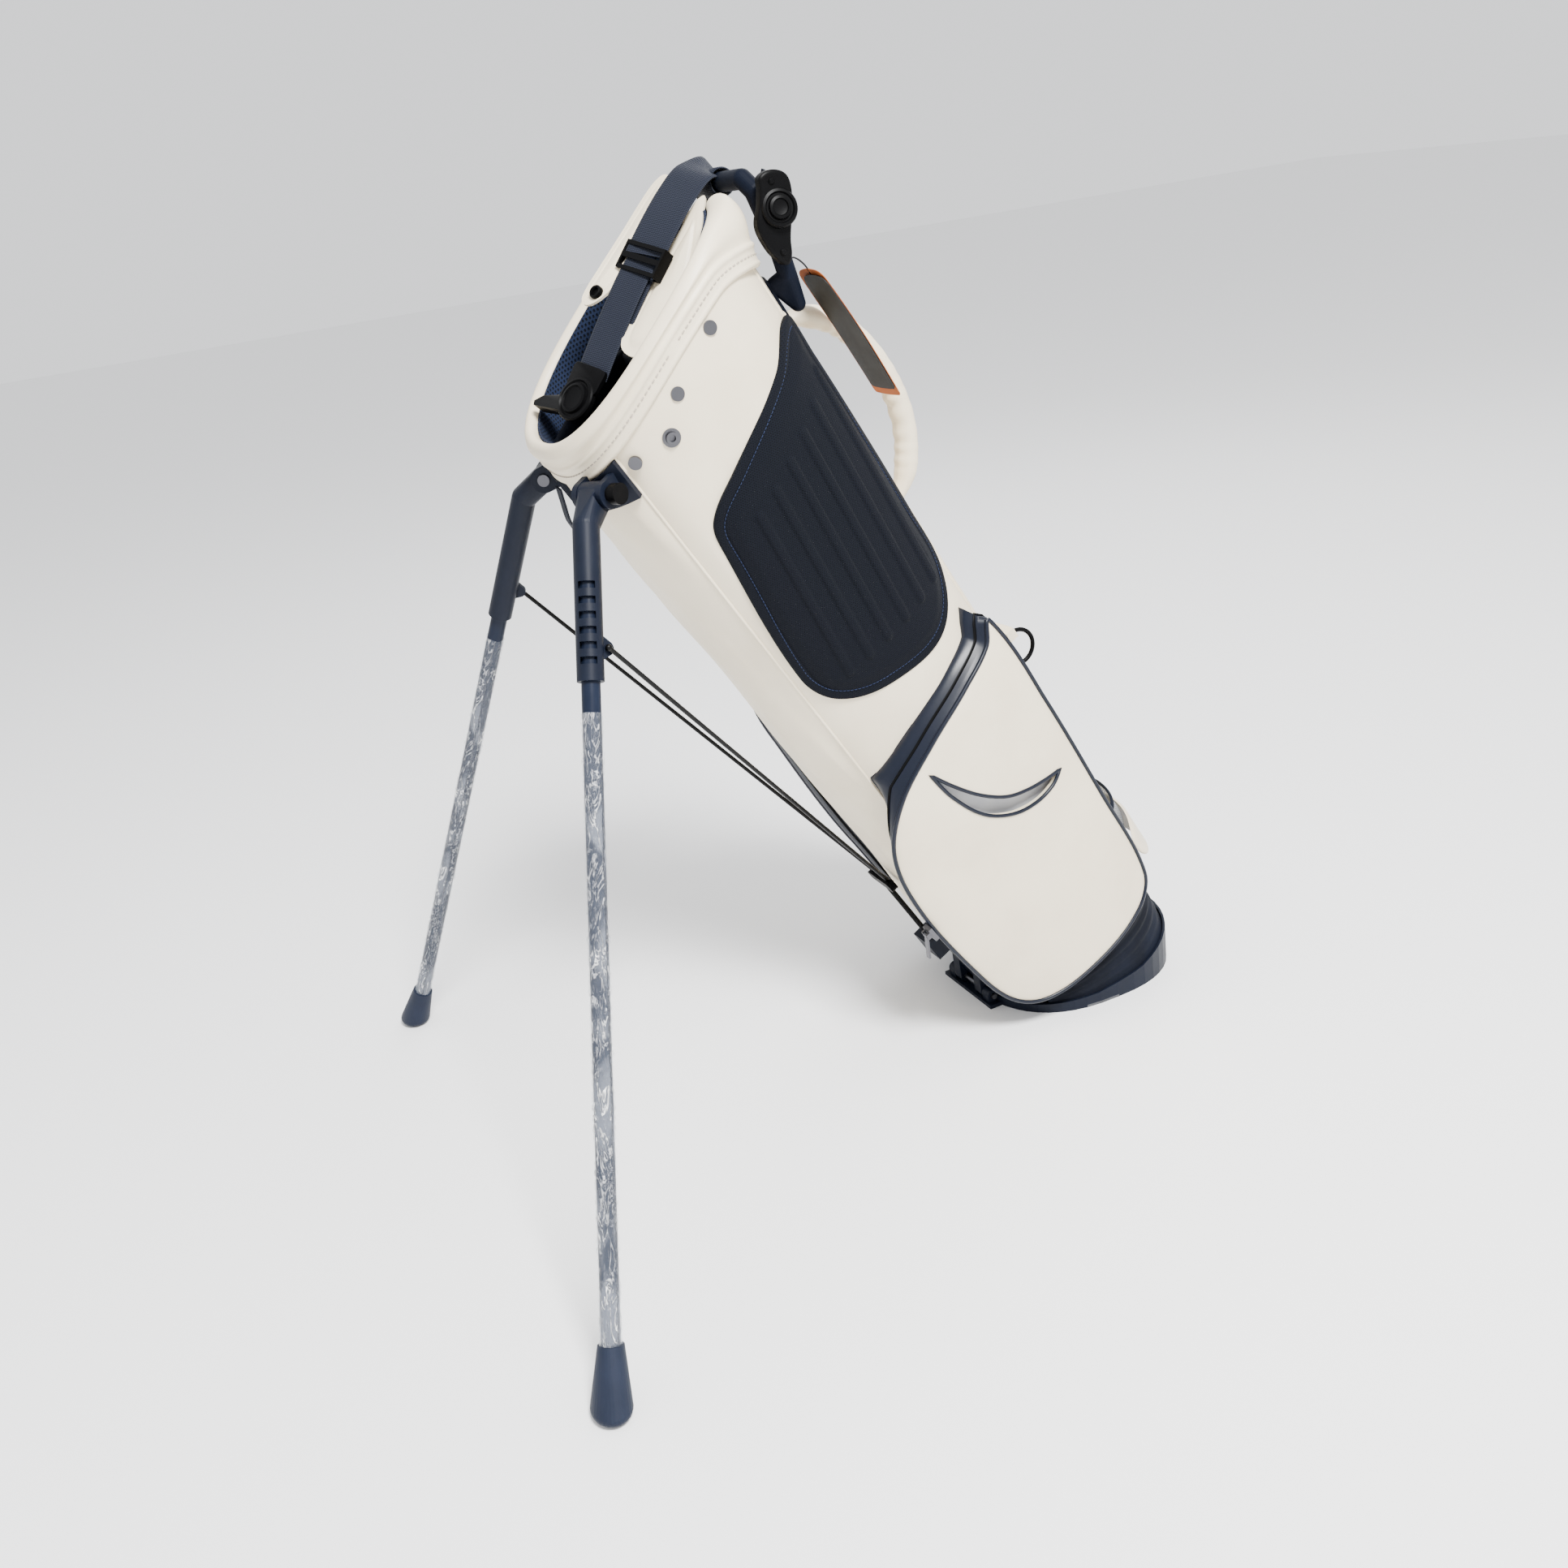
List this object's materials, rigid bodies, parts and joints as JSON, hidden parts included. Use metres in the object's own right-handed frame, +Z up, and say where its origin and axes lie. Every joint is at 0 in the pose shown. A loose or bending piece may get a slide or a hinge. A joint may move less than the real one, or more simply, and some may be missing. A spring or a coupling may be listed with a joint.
{
  "type": "golf stand bag",
  "caption": "Slim golf bag leaning on two splayed fold-out legs and a hinged base foot, with divided mouth, side pockets, carrying handle and strap hardware.",
  "frame": {"origin": "on the floor under the middle of the base hinge, on the base foot's sole", "axes": "+Z up from the floor, +X to the bag's own left side (a leg on each side), -Y towards the legs' feet"},
  "size_m": [0.759, 0.8118, 0.8967],
  "materials": {
    "white_leather": "fine grained synthetic leather",
    "navy_fabric": "woven coated fabric",
    "navy_mesh": "perforated spacer mesh",
    "navy_plastic": "fine moulded texture",
    "navy_tube": "satin powder coat",
    "black_plastic": "fine moulded texture",
    "gunmetal": "dark plated",
    "clear_film": "crinkled clear film",
    "navy_rubber": "moulded rubber",
    "sole_rubber": "rough pads",
    "dark_wire": "black coated",
    "fibre_rod": "drawn glass fibre rod",
    "pouch_mesh": "mesh",
    "card": "printed card left blank"
  },
  "bodies": {
    "bag": {"base_shell": "navy_plastic", "main_sleeve": "navy_fabric", "stay_rods": "fibre_rod", "front_panel": "white_leather", "left_panel": "white_leather", "right_panel": "white_leather", "spine_panel": "white_leather", "cuff": "white_leather", "cuff_lining": "navy_mesh", "divider_left": "navy_fabric", "divider_right": "navy_fabric", "divider_cross": "navy_fabric", "top_handle": "navy_plastic", "left_bracket": "navy_plastic", "right_bracket": "navy_plastic", "pivot_pins": "gunmetal", "pivot_knobs": "black_plastic", "hip_pad": "navy_mesh", "left_pocket_panel": "white_leather", "left_pocket_gusset": "navy_fabric", "right_pocket_panel": "white_leather", "right_pocket_gusset": "navy_fabric", "rear_pouch": "pouch_mesh", "pouch_flap": "white_leather", "grab_handle": "white_leather", "shoulder_pad_left": "white_leather", "shoulder_pad_right": "white_leather", "webbing_upper": "navy_fabric", "webbing_lower": "navy_fabric", "strap_loop": "navy_fabric", "tri_glide": "black_plastic", "front_clip": "black_plastic", "front_clip_arm": "black_plastic", "rear_clip": "black_plastic", "rear_webbing": "navy_fabric", "rivets": "gunmetal", "snap_studs": "gunmetal", "ring_tab": "white_leather", "hang_tags": "card", "rod_guide": "navy_plastic", "leg_strap": "navy_fabric", "hinge_pin": "gunmetal", "base_gusset": "navy_fabric"},
    "foot": {"base_foot": "navy_plastic", "foot_soles": "sole_rubber"},
    "left_leg": {"left_knuckle": "navy_plastic", "left_tube": "navy_tube", "left_sleeve_film": "clear_film", "left_foot": "navy_rubber"},
    "right_leg": {"right_knuckle": "navy_plastic", "right_tube": "navy_tube", "right_sleeve_film": "clear_film", "right_foot": "navy_rubber"},
    "rod": {"push_rod": "black_plastic"},
    "left_arm": {"left_wire": "dark_wire"},
    "right_arm": {"right_wire": "dark_wire"},
    "ring": {"towel_ring": "black_plastic"},
    "zip": {"zip_slider": "gunmetal"},
    "pull": {"zip_pull": "gunmetal"}
  },
  "joints": [
    {"name": "left_leg_fold", "type": "hinge", "parent": "bag", "child": "left_leg", "pos_m": [0.071, -0.35279, 0.65125], "axis": [0.8954, 0.4411, 0.0605], "range_deg": [0, 50.78]},
    {"name": "right_leg_fold", "type": "hinge", "parent": "bag", "child": "right_leg", "pos_m": [-0.071, -0.35279, 0.65125], "axis": [0.8954, -0.4411, -0.0605], "range_deg": [0, 50.79]},
    {"name": "base_hinge", "type": "hinge", "parent": "bag", "child": "foot", "pos_m": [0, 0, 0.011], "axis": [1, 0, 0], "range_deg": [0, 29.21], "deforming": ["base_gusset"]},
    {"name": "rod_slide", "type": "slide", "parent": "bag", "child": "rod", "axis": [0, 0.4879, -0.8729], "range_m": [0, 0.0671]},
    {"name": "left_wire_swing", "type": "hinge", "parent": "rod", "child": "left_arm", "pos_m": [0.014, -0.0957, 0.17403], "axis": [-0.8471, -0.5161, -0.1264], "range_deg": [0, 11.7]},
    {"name": "right_wire_swing", "type": "hinge", "parent": "rod", "child": "right_arm", "pos_m": [-0.014, -0.0957, 0.17403], "axis": [-0.8471, 0.5161, 0.1264], "range_deg": [0, 11.7]},
    {"name": "towel_ring_swing", "type": "hinge", "parent": "bag", "child": "ring", "pos_m": [0.076, 0.03648, 0.42947], "axis": [0, 0.8729, 0.4879], "range_deg": [-28, 8]},
    {"name": "zip_slide", "type": "slide", "parent": "bag", "child": "zip", "axis": [0, -0.4879, 0.8729], "range_m": [-0.05, 0.08]},
    {"name": "zip_pull_swing", "type": "hinge", "parent": "zip", "child": "pull", "pos_m": [0.112, -0.11159, 0.15942], "axis": [1, 0, 0], "range_deg": [-60, 20]}
  ],
  "couplings": [
    {"joint": "right_leg_fold", "follows": "left_leg_fold", "ratio": 1},
    {"joint": "base_hinge", "follows": "left_leg_fold", "ratio": 0.57503},
    {"joint": "rod_slide", "follows": "left_leg_fold", "m_per_rad": 0.075653},
    {"joint": "left_wire_swing", "follows": "left_leg_fold", "ratio": 0.23021},
    {"joint": "right_wire_swing", "follows": "left_leg_fold", "ratio": 0.23021}
  ]
}
